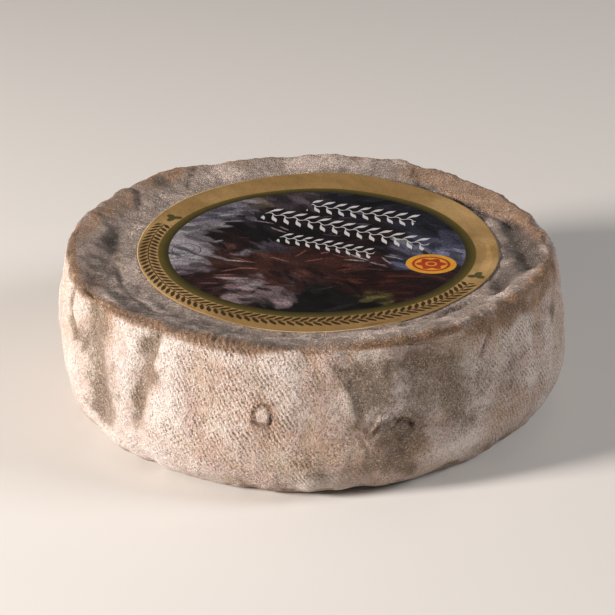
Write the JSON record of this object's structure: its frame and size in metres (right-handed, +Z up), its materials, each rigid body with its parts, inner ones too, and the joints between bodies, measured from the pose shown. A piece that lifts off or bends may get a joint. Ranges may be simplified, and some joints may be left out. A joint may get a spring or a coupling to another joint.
{
  "type": "cheese wheel",
  "caption": "Small round wheel of pressed cheese with a mottled, cloth-marked rind, a dished top face and a round paper label.",
  "frame": {"origin": "middle of the flat base, on the surface the wheel rests on", "axes": "+Z up along the wheel's axis, -Y towards the front, +X to the right seen from the front"},
  "size_m": [0.1302, 0.1289, 0.0415],
  "materials": {
    "rind": "matte",
    "paper": "satin"
  },
  "bodies": {
    "root": {"cheese_wheel": "rind", "label": "paper"}
  },
  "joints": []
}
